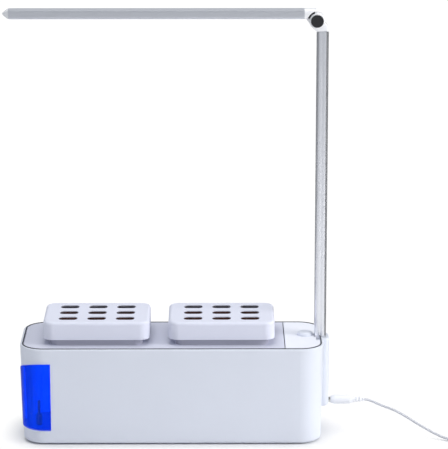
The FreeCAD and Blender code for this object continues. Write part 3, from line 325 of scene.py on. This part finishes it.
# Water tank. One clear blue moulding behind the tub's opening, whose corner stands
# a millimetre proud as the window on the water level.
def water_blue(name, clear, corner, closing=1.2, glow=0.62):
    """Clear blue plastic with a painted glow, painted light that makes it read as lit from inside:
    denser and darker seen along its wall.

    It is see-through by the share `clear` where x + y is under `corner`, except
    along its left end. Towards a glancing view the colour goes from blue to navy
    and the wall closes, as a tinted wall does with its thickness.
    """
    left_end = -0.1545
    material = bpy.data.materials.new(name)
    new, link, out = clear_nodes(material)
    surface = new.new("ShaderNodeBsdfPrincipled")
    surface.inputs["Roughness"].default_value = 0.12
    surface.inputs["IOR"].default_value = 1.12
    # Painted light: the plastic glows in its own blue by glow, though it is no lamp.
    surface.inputs["Emission Strength"].default_value = glow
    place = new.new("ShaderNodeTexCoord")
    part = new.new("ShaderNodeSeparateXYZ")
    depth = new.new("ShaderNodeVectorMath")
    depth.operation = "DOT_PRODUCT"
    depth.inputs[1].default_value = (1, 1, 0)
    front = new.new("ShaderNodeMath")
    front.operation = "LESS_THAN"
    front.inputs[1].default_value = corner
    end = new.new("ShaderNodeMath")
    end.operation = "GREATER_THAN"
    end.inputs[1].default_value = left_end
    window = new.new("ShaderNodeMath")
    window.operation = "MULTIPLY"
    glance = new.new("ShaderNodeLayerWeight")
    glance.inputs["Blend"].default_value = 0.5
    steep = new.new("ShaderNodeMath")
    steep.operation = "POWER"
    steep.inputs[1].default_value = closing
    open_share = new.new("ShaderNodeMath")
    open_share.operation = "MULTIPLY"
    open_share.inputs[1].default_value = clear
    thin = new.new("ShaderNodeMath")
    thin.operation = "SUBTRACT"
    thin.inputs[0].default_value = 1.0
    gap = new.new("ShaderNodeMath")
    gap.operation = "MULTIPLY"
    wall = new.new("ShaderNodeMath")
    wall.operation = "SUBTRACT"
    wall.inputs[0].default_value = 1.0
    swirl = new.new("ShaderNodeTexNoise")
    swirl.inputs["Scale"].default_value = 45.0
    swirl.inputs["Detail"].default_value = 2.0
    blues = new.new("ShaderNodeMix")
    blues.data_type = "RGBA"
    blues.inputs[6].default_value = lin(8, 66, 244)
    blues.inputs[7].default_value = lin(14, 84, 255)
    tint = new.new("ShaderNodeMix")
    tint.data_type = "RGBA"
    tint.inputs[7].default_value = lin(10, 14, 96)
    link.new(place.outputs["Object"], part.inputs[0])
    link.new(place.outputs["Object"], swirl.inputs["Vector"])
    link.new(place.outputs["Object"], depth.inputs[0])
    link.new(depth.outputs["Value"], front.inputs[0])
    link.new(part.outputs["X"], end.inputs[0])
    link.new(front.outputs[0], window.inputs[0])
    link.new(end.outputs[0], window.inputs[1])
    link.new(window.outputs[0], open_share.inputs[0])
    link.new(glance.outputs["Facing"], steep.inputs[0])
    link.new(steep.outputs[0], thin.inputs[1])
    link.new(open_share.outputs[0], gap.inputs[0])
    link.new(thin.outputs[0], gap.inputs[1])
    link.new(gap.outputs[0], wall.inputs[1])
    link.new(wall.outputs[0], surface.inputs["Alpha"])
    link.new(swirl.outputs["Fac"], blues.inputs["Factor"])
    link.new(blues.outputs[2], tint.inputs[6])
    link.new(steep.outputs[0], tint.inputs["Factor"])
    link.new(tint.outputs[2], surface.inputs["Base Color"])
    link.new(tint.outputs[2], surface.inputs["Emission Color"])
    link.new(surface.outputs[0], out.inputs["Surface"])
    return material


dress(water_blue("tank_blue", clear=0.88, corner=-0.172), "water_tank")
# The guide glows too, by a smaller glow: painted light.
guide_blue = water_blue("guide_blue", clear=0.93, corner=1.0, closing=9.0, glow=0.3)
dress(guide_blue, "float_guide", "float_rest")

# Level float. A dark hollow float with an indicator stem that rides up and down
# in its guide behind the window.
dress(moulded("float_black", lin(16, 18, 22), 0.5), "level_float")

# Deck. A grey matt plate that lies in the rim, with openings for the baskets.
dress(moulded("deck_grey", lin(212, 214, 228), 0.55, grain=1800.0, relief=0.00003), "deck_cover")

# Baskets. White open-topped moulds whose floors are slotted for the roots and
# whose collars stand up through the deck to carry the lids.
# The basket colour is painted greyer than its white moulding: painted shade for the collar band under
# the lids.
basket_white = moulded("basket_white", lin(176, 176, 190), 0.5)
dress(basket_white, "basket_left", "basket_right")


# Planting blocks. Damp dark fibre pressed into each basket, loose and lumpy on
# top, which shows through the slots of the lids.
def rounded_ring(half_x, half_y, radius, count):
    """Points round a rectangle with round corners, evenly spaced in its angle.

    Each corner is a quarter circle about its own centre, with count / 4 points,
    so that the straight sides lie between the last and first corner points.
    """
    turn = (np.arange(count) + 0.5) * 2 * np.pi / count
    quarter = np.floor(turn / (np.pi / 2)).astype(int)
    sign_x = np.array([1, -1, -1, 1])[quarter]
    sign_y = np.array([1, 1, -1, -1])[quarter]
    x = sign_x * (half_x - radius) + radius * np.cos(turn)
    y = sign_y * (half_y - radius) + radius * np.sin(turn)
    return x, y


def skin_of_rings(name, x, y, z):
    """Mesh of quads between rings of points, arrays of rings by points.

    Every ring joins the next, the last point joins the first, and a fan to the
    mean point closes each end. Rings run upwards and turn left, so the faces
    point outwards.
    """
    rings, count = x.shape
    points = np.stack([x, y, z], axis=-1).reshape(-1, 3)
    i = np.arange(rings - 1)[:, None] * count
    j = np.arange(count)[None, :]
    k = (j + 1) % count
    quads = np.stack([i + j, i + k, i + count + k, i + count + j], axis=-1).reshape(-1, 4)
    faces = quads.tolist()
    points = np.vstack([points, points[:count].mean(0), points[-count:].mean(0)])
    top = (rings - 1) * count
    sides = list(zip(j[0].tolist(), k[0].tolist()))
    faces += [(b, a, len(points) - 2) for a, b in sides]
    faces += [(top + a, top + b, len(points) - 1) for a, b in sides]
    mesh = bpy.data.meshes.new(name)
    mesh.from_pydata(points.tolist(), [], faces)
    mesh.polygons.foreach_set("use_smooth", np.ones(len(mesh.polygons), dtype=bool))
    mesh.set_sharp_from_angle(angle=math.radians(40))
    mesh.update()
    piece = bpy.data.objects.new(name, mesh)
    scene.collection.objects.link(piece)
    return piece


def fibre_soil():
    """Dark damp fibre: brown threads and crumbs over near black, fully matt."""
    material = bpy.data.materials.new("fibre_soil")
    new, link, out = clear_nodes(material)
    surface = new.new("ShaderNodeBsdfPrincipled")
    surface.inputs["Roughness"].default_value = 0.95
    place = new.new("ShaderNodeTexCoord")
    crumbs = new.new("ShaderNodeTexVoronoi")
    crumbs.inputs["Scale"].default_value = 420.0
    threads = new.new("ShaderNodeTexNoise")
    threads.inputs["Scale"].default_value = 260.0
    threads.inputs["Detail"].default_value = 6.0
    tone = new.new("ShaderNodeValToRGB")
    tone.color_ramp.elements[0].color = lin(22, 12, 12)
    tone.color_ramp.elements[1].color = lin(92, 52, 44)
    bump = new.new("ShaderNodeBump")
    bump.inputs["Distance"].default_value = 0.0008
    link.new(place.outputs["Object"], crumbs.inputs["Vector"])
    link.new(place.outputs["Object"], threads.inputs["Vector"])
    link.new(threads.outputs["Fac"], tone.inputs["Fac"])
    link.new(tone.outputs["Color"], surface.inputs["Base Color"])
    link.new(crumbs.outputs["Distance"], bump.inputs["Height"])
    link.new(bump.outputs["Normal"], surface.inputs["Normal"])
    link.new(surface.outputs[0], out.inputs["Surface"])
    return material


def planting_block(name, low, high, seed):
    """Tapered block with a crumbly top, inside the space from low to high.

    Rings rise up the sides and then close in over the top. The top sinks by a
    sum of sine waves of 4 to 14 mm length, so no crumb stands above the block.
    """
    middle = (np.array(low) + np.array(high)) / 2
    half = (np.array(high) - np.array(low)) / 2
    count, side_rings, top_rings = 120, 14, 45
    corner_r, edge_drop, deepest = 0.005, 0.001, 0.0028
    sides = np.linspace(0.0, 1.0, side_rings)
    inward = np.linspace(1.0, 0.04, top_rings + 1)[1:]
    share = np.concatenate([np.full(side_rings, 1.0), inward])
    rise = low[2] + (high[2] - low[2] - edge_drop) * sides
    height = np.concatenate([rise, np.full(top_rings, high[2])])
    taper = np.concatenate([0.955 + 0.045 * sides, np.full(top_rings, 1.0)])
    x, y = rounded_ring(half[0], half[1], corner_r, count)
    x = middle[0] + x[None, :] * (share * taper)[:, None]
    y = middle[1] + y[None, :] * (share * taper)[:, None]
    z = np.repeat(height[:, None], count, axis=1)
    chance = np.random.default_rng(seed)
    sink = np.zeros_like(x)
    for length in chance.uniform(0.004, 0.014, 26):
        way = chance.uniform(0, 2 * np.pi)
        phase = chance.uniform(0, 2 * np.pi)
        sink += np.sin((x * np.cos(way) + y * np.sin(way)) * 2 * np.pi / length + phase)
    sink = deepest * (0.5 + sink / 14).clip(0, 1)
    z[side_rings:] -= sink[side_rings:]
    return skin_of_rings(name, x, y, z)


soil = fibre_soil()
for side, seed in (("left", 4), ("right", 9)):
    node = "grow_medium_" + side
    low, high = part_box(node)
    block = planting_block("planting_block_" + side, low, high, seed)
    block.data.materials.append(soil)
    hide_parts(node)
    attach(block, "basket_" + side + "_body")

# Lids. White caps with nine slots each, dropped over the collars of the baskets.
lid_white = moulded("lid_white", lin(228, 230, 244), 0.42)
dress(lid_white, "lid_left", "lid_right")

# Painted shade. A dark bead stands on the rim all round the deck and the panel, and
# another lies in the seam between those two, just under their faces, to paint the
# shade of the gaps there.
def bead(name, line, radius):
    """Round bead along a line of points: a circle carried square to its course.

    Point j of ring i is line[i] + radius * (cos(a_j) * side_i + sin(a_j) * up),
    where side_i is level and square to the course at i.
    """
    around = 10
    course = np.gradient(line, axis=0)
    course /= np.linalg.norm(course, axis=1)[:, None]
    up = np.array([0.0, 0.0, 1.0])
    side = np.cross(course, up)
    angle = np.arange(around) * 2 * np.pi / around
    ring = np.cos(angle)[None, :, None] * side[:, None, :] + np.sin(angle)[None, :, None] * up
    points = line[:, None, :] + radius * ring
    return skin_of_rings(name, points[..., 0], points[..., 1], points[..., 2])


# Painted shade: the beads are dark grey to stand for the shadow in the gaps round and between the deck
# and the panel.
gap_shade_grey = moulded("gap_shade_grey", lin(62, 64, 72), 0.6, grain=1500.0)
deck_low, deck_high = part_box("deck_cover")
panel_low, panel_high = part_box("control_panel")
pole_low, pole_high = (np.array(corner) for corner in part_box("lamp_pole"))
bead_r, bead_gap = 0.0006, 0.0005
plate_corner_r = 0.0226
rim_z = 0.1072
ring_count = 144
wide = (panel_high[0] - deck_low[0]) / 2 + bead_gap + bead_r
deep = (deck_high[1] - deck_low[1]) / 2 + bead_gap + bead_r
x, y = rounded_ring(wide, deep, plate_corner_r + bead_r, ring_count)
ring_line = np.stack([x + (panel_high[0] + deck_low[0]) / 2, y + (deck_high[1] + deck_low[1]) / 2,
                      np.full(ring_count, rim_z)], axis=-1)
right_end = ring_line[:, 0].max()
pole_clearance = 0.0007
behind_pole = [[right_end, pole_high[1] + pole_clearance, rim_z]]
before_pole = [[right_end, pole_low[1] - pole_clearance, rim_z]]
rim_shade_bead = bead("rim_shade_bead", np.vstack([behind_pole, ring_line, before_pole]), bead_r)

seam_r, seam_z, seam_inset, seam_count = 0.0004, 0.1062, 0.001, 30
seam_y = np.linspace(deck_low[1] + seam_inset, deck_high[1] - seam_inset, seam_count)
seam_line = np.stack([np.full(seam_count, (deck_high[0] + panel_low[0]) / 2), seam_y,
                      np.full(seam_count, seam_z)], axis=-1)
seam_shade_bead = bead("seam_shade_bead", seam_line, seam_r)
for dark_bead in (rim_shade_bead, seam_shade_bead):
    dark_bead.data.materials.append(gap_shade_grey)
    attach(dark_bead, "base")

# Control panel. A white plate at the right end with the round button, over the
# circuit board and its switch.
dress(moulded("panel_white", lin(240, 242, 250), 0.5), "control_panel")
dress(moulded("button_white", lin(232, 236, 247), 0.3), "push_button")
dress(moulded("board_green", lin(24, 92, 52), 0.4, coat=0.5), "control_board")
part_black = moulded("part_black", lin(34, 34, 36), 0.45)
dress(part_black, "tact_switch", "switch_plunger", "dc_jack")

# Pole. A drawn aluminium extrusion with a shallow valley along its front and its
# back, gripped by a sleeve in the housing, with the lamp's wire inside.
pole_mid = (pole_low + pole_high) / 2
pole_half = (pole_high - pole_low) / 2


def valley_section(half_x, half_y, radius, valley_half, valley_depth, count):
    """Rounded rectangle whose front and back sink in a cosine valley."""
    x, y = rounded_ring(half_x, half_y, radius, count)
    flat = np.linspace(-half_x + radius, half_x - radius, 24)[1:-1]
    quarter = count // 4
    back = np.stack([flat[::-1], np.full(len(flat), half_y)], axis=-1)
    ring = np.stack([x, y], axis=-1)
    ring = np.concatenate([ring[:quarter], back, ring[quarter:3 * quarter], -back, ring[3 * quarter:]])
    sink = valley_depth * (0.5 + 0.5 * np.cos(np.pi * np.clip(ring[:, 0] / valley_half, -1, 1)))
    on_face = np.abs(ring[:, 1]) > half_y - 1e-7
    ring[:, 1] -= np.sign(ring[:, 1]) * sink * on_face
    return ring


section = valley_section(pole_half[0], pole_half[1], radius=0.0038, valley_half=0.0017,
                         valley_depth=0.0002, count=48)
levels = np.array([pole_low[2], 0.12, 0.2, 0.3, 0.4, pole_high[2]])
pole = skin_of_rings("pole_extrusion", np.tile(section[:, 0] + pole_mid[0], (len(levels), 1)),
                     np.tile(section[:, 1] + pole_mid[1], (len(levels), 1)),
                     np.repeat(levels[:, None], len(section), 1))
pole.data.materials.append(metal("pole_aluminium", lin(238, 239, 243), 0.22,
                                 stretch=(1, 1, 0.02), metallic=0.8))
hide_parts("lamp_pole")
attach(pole, "base")
dress(moulded("wire_white", lin(225, 225, 222), 0.5), "lamp_wire")

# Elbow. A pearl white fork on the pole and a tongue on the arm, on one steel pin,
# with nylon washers between them, a black cap at each end and a rubber stop.
def inset_outline(outline, inset):
    """Outline moved inwards: each point by the inset along its mean normal."""
    ahead = np.roll(outline, -1, axis=0) - outline
    ahead /= np.linalg.norm(ahead, axis=1)[:, None]
    behind = np.roll(ahead, 1, axis=0)
    normal = np.stack([-(ahead + behind)[:, 1], (ahead + behind)[:, 0]], axis=-1)
    normal /= np.maximum(np.linalg.norm(normal, axis=1), 0.8)[:, None]
    return outline + normal * inset


def rounded_prism(name, outline, back, front, radius):
    """Outline of (x, z) carried from the back to the front, its edges rounded.

    Both edges are quarter circles: at angle t the outline is radius * (1 - sin t)
    in from its full size and radius * (1 - cos t) from the end face.
    """
    t = np.linspace(0, np.pi / 2, 6)
    inset = np.concatenate([radius * (1 - np.sin(t)), radius * (1 - np.sin(t[::-1]))])
    y = np.concatenate([back - radius * (1 - np.cos(t)), front + radius * (1 - np.cos(t[::-1]))])
    rings = np.stack([inset_outline(outline, i) for i in inset])
    return skin_of_rings(name, rings[..., 0], np.repeat(y[:, None], len(outline), 1), rings[..., 1])


axis = np.array([0.1573, 0.4510])
cheek_r = 0.0086
shoulder_start, shoulder_pull = -0.0092, -0.0062
fork_edge_r = 0.0014
pole_left, pole_right = pole_low[0] - axis[0], pole_high[0] - axis[0]
pole_top = pole_high[2] - axis[1]
turn = np.radians(np.linspace(-11, 225, 60))
round_part = cheek_r * np.stack([np.cos(turn), np.sin(turn)], axis=-1)
t = np.linspace(0, 1, 12)[:, None]
shoulder = ((1 - t) ** 2 * np.array([pole_right, shoulder_start])
            + 2 * t * (1 - t) * np.array([pole_right, shoulder_pull])
            + t ** 2 * round_part[0])
foot = np.array([[pole_left, pole_top], [pole_right, pole_top]])
outline = np.concatenate([round_part, foot, shoulder[:-1]]) + axis
fork_back, fork_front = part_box("lower_knuckle")[1][1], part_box("lower_knuckle")[0][1]
fork = rounded_prism("knuckle_fork", outline, fork_back, fork_front, fork_edge_r)

# The slot for the tongue is open to the left and to the top. A spine stays on the
# right, and the floor steps up before it.
slot_half = 0.0031
slot_floor, step_x, step_z = -0.0108, 0.006, -0.0088
slot_right, past_fork = 0.0088, 0.018
slot_points = np.array([(-past_fork, slot_floor), (step_x, slot_floor), (step_x, step_z),
                        (slot_right, step_z), (slot_right, past_fork),
                        (-past_fork, past_fork)]) + axis
slot_rings = np.repeat(slot_points[None], 2, 0)
slot_y = np.array([pole_mid[1] + slot_half, pole_mid[1] - slot_half])
slot_cut = skin_of_rings("fork_slot", slot_rings[..., 0],
                         np.repeat(slot_y[:, None], len(slot_points), 1), slot_rings[..., 1])
cut = fork.modifiers.new("slot", "BOOLEAN")
cut.operation = "DIFFERENCE"
cut.solver = "EXACT"
cut.object = slot_cut
bpy.context.view_layer.update()
cut_mesh = bpy.data.meshes.new_from_object(fork.evaluated_get(bpy.context.evaluated_depsgraph_get()))
fork.modifiers.clear()
fork.data = cut_mesh
bpy.data.objects.remove(slot_cut)
knuckle_pearl = moulded("knuckle_pearl", lin(250, 250, 252), 0.22, relief=0.000005, coat=0.3)
fork.data.materials.clear()
fork.data.materials.append(knuckle_pearl)
fork.data.polygons.foreach_set("use_smooth", np.ones(len(fork.data.polygons), dtype=bool))
fork.data.set_sharp_from_angle(angle=math.radians(35))
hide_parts("lower_knuckle")
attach(fork, "base")
dress(knuckle_pearl, "upper_knuckle")

# The stop is an arc of rubber round the top left of the fork.
stop_inner, stop_outer, stop_edge_r = 0.0088, 0.0104, 0.0004
stop_turn = np.radians(np.linspace(106, 162, 24))
ray_out = np.stack([np.cos(stop_turn), np.sin(stop_turn)], axis=-1)
stop_outline = np.concatenate([stop_outer * ray_out, stop_inner * ray_out[::-1]]) + axis
stop = rounded_prism("elbow_stop", stop_outline, fork_back - 0.0002, fork_front - 0.0001, stop_edge_r)
stop.data.materials.append(moulded("stop_black", lin(22, 22, 24), 0.6))
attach(stop, "lamp")
dress(moulded("cap_black", lin(20, 20, 22), 0.16, coat=0.6), "hinge_cap_front", "hinge_cap_back")
dress(moulded("washer_nylon", lin(232, 230, 222), 0.4), "friction_washers")

# Lamp arm. A drawn channel with a strip of lamp chips behind a frosted strip.
dress(metal("arm_aluminium", lin(208, 210, 216), 0.42, stretch=(0.02, 1, 1), scale=1500.0,
            metallic=0.55), "lamp_arm")
dress(moulded("diffuser_frost", lin(226, 229, 238), 0.5, grain=1200.0), "arm_diffuser")
dress(moulded("board_white", lin(226, 228, 222), 0.45), "led_board")
dress(moulded("chip_yellow", lin(236, 214, 120), 0.35), "led_chips")

# End cap of the arm. A white moulding that closes the channel and tapers to a
# blunt point, with a fine groove where it meets the aluminium.
cap_low, cap_high = (np.array(corner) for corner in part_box("arm_end_cap"))
arm_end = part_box("lamp_arm")[0][0]
cap_mid = (cap_low + cap_high) / 2
cap_half = (cap_high - cap_low) / 2
cap_corner_r, cap_count, groove = 0.0026, 96, 0.0003
y, z = rounded_ring(cap_half[1], cap_half[2], cap_corner_r, cap_count)
t = np.linspace(0, 1, 26)
size = np.concatenate([[0.9, 0.9, 1.0], 1 - 0.88 * t ** 1.2])
x = np.concatenate([[arm_end, arm_end - groove, arm_end - groove],
                    arm_end - groove - (arm_end - groove - cap_low[0]) * t])
cap = skin_of_rings("end_cap", np.repeat(x[:, None], cap_count, 1),
                    cap_mid[1] - y[None, :] * size[:, None],
                    cap_mid[2] + z[None, :] * size[:, None])
cap.data.materials.append(knuckle_pearl)
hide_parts("arm_end_cap")
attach(cap, "lamp")

# Power plug and lead. A 5.5 mm barrel plug with a ribbed relief, and a thin
# white lead that droops to the table and is wound up beside the view.
plug_white = moulded("plug_white", lin(240, 241, 245), 0.35)
dress(plug_white, "dc_plug", "power_adapter")
dress(metal("barrel_plated", lin(205, 203, 198), 0.2), "plug_barrel")
dress(metal("blade_brass", lin(205, 178, 110), 0.3), "adapter_blades")

relief_low, relief_high = (np.array(corner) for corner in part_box("plug_relief"))
relief_mid = (relief_low + relief_high) / 2
relief_count, relief_r, relief_taper, rib_height, tip_step = 28, 0.0031, 0.0012, 0.00042, 0.0003
along = np.linspace(0, 1, 97)
ribs = np.clip(2.2 * np.sin(along * 3.5 * 2 * np.pi + 0.6), -1, 1)
girth = (relief_r - relief_taper * along + rib_height * ribs * (along < 0.93)
         - tip_step * (along > 0.97))
turn = np.arange(relief_count) * 2 * np.pi / relief_count
relief_x = relief_low[0] + along * (relief_high[0] - relief_low[0])
relief = skin_of_rings("ribbed_relief", np.repeat(relief_x[:, None], relief_count, 1),
                       relief_mid[1] + girth[:, None] * np.cos(turn)[None, :],
                       relief_mid[2] + girth[:, None] * np.sin(turn)[None, :])
relief.data.materials.append(plug_white)
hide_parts("plug_relief")
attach(relief, "base")

route = np.array([
    (212.1, 0.34, 34.6), (218.1, 0.0, 34.0), (229.0, -4.5, 29.6), (246.5, -11.8, 25.6),
    (270.9, -23.9, 13.0), (292.9, -34.7, 3.2), (310.9, -46.16, 1.5), (326.9, -57.66, 1.5),
]) / 1000
cord_d = 0.0028


def coil_points(entry, heading):
    """Control points of the wound coil, sixteen to a turn, and its way out.

    Radius and height are read at each angle from values at every half turn:
    five half turns inwards, one that climbs, five outwards, and so on. A spline
    runs inside its control points, so the radius is taken out by what it loses.
    """
    gap, outer, last_layer, spline_loss = 0.0011, 0.0205, 3, 0.9809
    radius, height = [outer], [entry[2]]
    for layer in range(last_layer + 1):
        half_turns = 4 if layer == last_layer else 5
        for _ in range(half_turns):
            radius.append(radius[-1] + (-1) ** (layer + 1) * (cord_d + gap) / 2)
            height.append(height[-1])
        if layer < last_layer:
            radius.append(radius[-1])
            height.append(height[-1] + cord_d + gap)
    halves = len(radius) - 1
    radius.append(radius[-1] + (cord_d + gap) / 4)
    height.append(height[-1])
    marks = np.append(np.arange(halves + 1), halves + 0.5)
    left = np.array([-heading[1], heading[0], 0])
    centre = entry + left * outer
    start = math.atan2(entry[1] - centre[1], entry[0] - centre[0])
    step = np.arange(1, halves * 8 + 5) / 8
    angle = start + np.pi * step
    wide = np.interp(step, marks, radius) / spline_loss
    place = np.stack([centre[0] + wide * np.cos(angle), centre[1] + wide * np.sin(angle),
                      np.interp(step, marks, height)], axis=-1)
    out = np.array([-math.sin(angle[-1]), math.cos(angle[-1]), 0])
    return place, out


heading = route[-1] - route[-2]
heading /= np.linalg.norm(heading)
turns, out = coil_points(route[-1], heading)
tail = 0.022
last = turns[-1] + out * tail
path = np.vstack([route, turns, last])

line = bpy.data.curves.new("power_lead", "CURVE")
line.dimensions = "3D"
line.bevel_depth = cord_d / 2
line.bevel_resolution = 4
line.resolution_u = 5
line.use_fill_caps = True
spline = line.splines.new("NURBS")
spline.points.add(len(path) - 1)
spline.points.foreach_set("co", np.hstack([path, np.ones((len(path), 1))]).ravel())
spline.order_u = 3
spline.use_endpoint_u = True
lead = bpy.data.objects.new("power_lead", line)
scene.collection.objects.link(lead)
line.materials.append(moulded("lead_white", lin(206, 207, 213), 0.45, grain=3000.0))
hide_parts("power_cord", "cord_coil", "cord_tail")
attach(lead, "base")

low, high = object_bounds()
